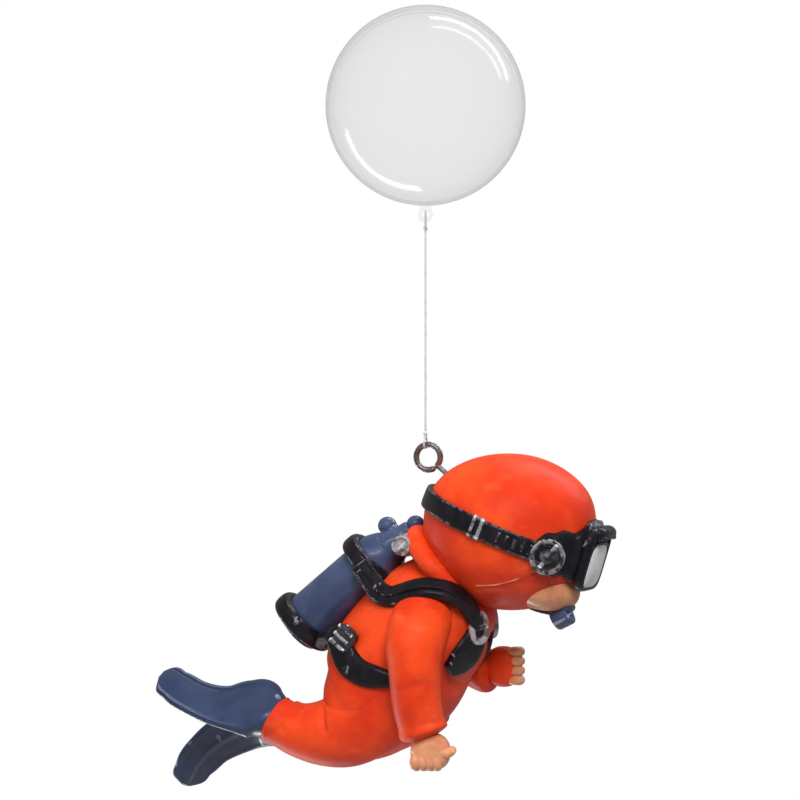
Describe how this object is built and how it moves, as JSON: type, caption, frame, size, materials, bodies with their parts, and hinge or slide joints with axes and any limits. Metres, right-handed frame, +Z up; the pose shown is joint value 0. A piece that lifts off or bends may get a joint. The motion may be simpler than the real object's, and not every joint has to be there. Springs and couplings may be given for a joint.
{
  "type": "float-hung diver ornament",
  "caption": "Aquarium ornament: a small painted diver with tank, mask and fins, hung by a thin nylon line and a screw eye from a clear hollow float ball.",
  "frame": {"origin": "centre of the float ball, on the water line", "axes": "+Z up along the hanging line, +X the way the diver faces, -Y its right side, which is the side shown"},
  "size_m": [0.0704, 0.03, 0.1171],
  "materials": {
    "clear_plastic": "clear moulded acrylic, polished",
    "nylon_line": "clear nylon monofilament",
    "bright_steel": "bright nickel-plated steel wire",
    "suit_paint": "cast resin, glossy orange-red paint",
    "skin_paint": "cast resin, glossy skin-coloured paint",
    "glove_paint": "cast resin, glossy skin-coloured paint",
    "fin_paint": "cast resin, glossy dark blue paint",
    "strap_paint": "cast resin, glossy near-black paint",
    "buckle_paint": "cast resin, glossy near-black paint",
    "lens_paint": "cast resin, glossy white paint",
    "tank_paint": "cast resin, glossy grey-blue paint",
    "silver_paint": "cast resin, silver paint"
  },
  "bodies": {
    "float": {"float_front_shell": "clear_plastic", "float_back_shell": "clear_plastic"},
    "upper_loop": {"upper_loop": "nylon_line"},
    "line": {"line": "nylon_line", "upper_knot": "nylon_line"},
    "lower_loop": {"lower_knot": "nylon_line", "lower_loop": "nylon_line"},
    "diver": {"eye_screw": "bright_steel", "hood": "suit_paint", "face": "skin_paint", "collar": "suit_paint", "torso": "suit_paint", "right_sleeve": "suit_paint", "left_sleeve": "suit_paint", "right_hand": "glove_paint", "left_hand": "glove_paint", "right_leg": "suit_paint", "left_leg": "suit_paint", "right_fin": "fin_paint", "left_fin": "fin_paint", "mask_skirt": "strap_paint", "mask_frame": "strap_paint", "mask_lens": "lens_paint", "mask_strap": "strap_paint", "right_strap_clip": "buckle_paint", "left_strap_clip": "buckle_paint", "right_mask_slider": "buckle_paint", "left_mask_slider": "buckle_paint", "mouthpiece": "fin_paint", "regulator_cup": "fin_paint", "regulator_hose": "strap_paint", "tank": "tank_paint", "tank_valve": "tank_paint", "valve_cap": "tank_paint", "valve_outlet": "tank_paint", "valve_knob": "silver_paint", "upper_tank_band": "strap_paint", "lower_tank_band": "strap_paint", "right_shoulder_strap": "strap_paint", "right_waist_strap": "strap_paint", "right_chest_buckle": "buckle_paint", "right_waist_slider": "buckle_paint", "left_shoulder_strap": "strap_paint", "left_waist_strap": "strap_paint", "left_chest_buckle": "buckle_paint", "left_waist_slider": "buckle_paint"}
  },
  "joints": [
    {"name": "line_swing", "type": "hinge", "parent": "float", "child": "upper_loop", "pos_m": [0, 0, -0.0164], "axis": [-0.342, 0.9397, 0], "range_deg": [-65, 65]},
    {"name": "line_sway", "type": "hinge", "parent": "upper_loop", "child": "line", "pos_m": [0, 0, -0.0185], "axis": [0.9397, 0.342, 0], "range_deg": [-45, 45]},
    {"name": "line_twist", "type": "hinge", "parent": "line", "child": "lower_loop", "pos_m": [0, 0, -0.0493], "axis": [0, 0, 1], "continuous": true},
    {"name": "diver_swing", "type": "hinge", "parent": "lower_loop", "child": "diver", "pos_m": [0.00045, 0, -0.05275], "axis": [0, 1, 0], "range_deg": [-70, 85]}
  ]
}
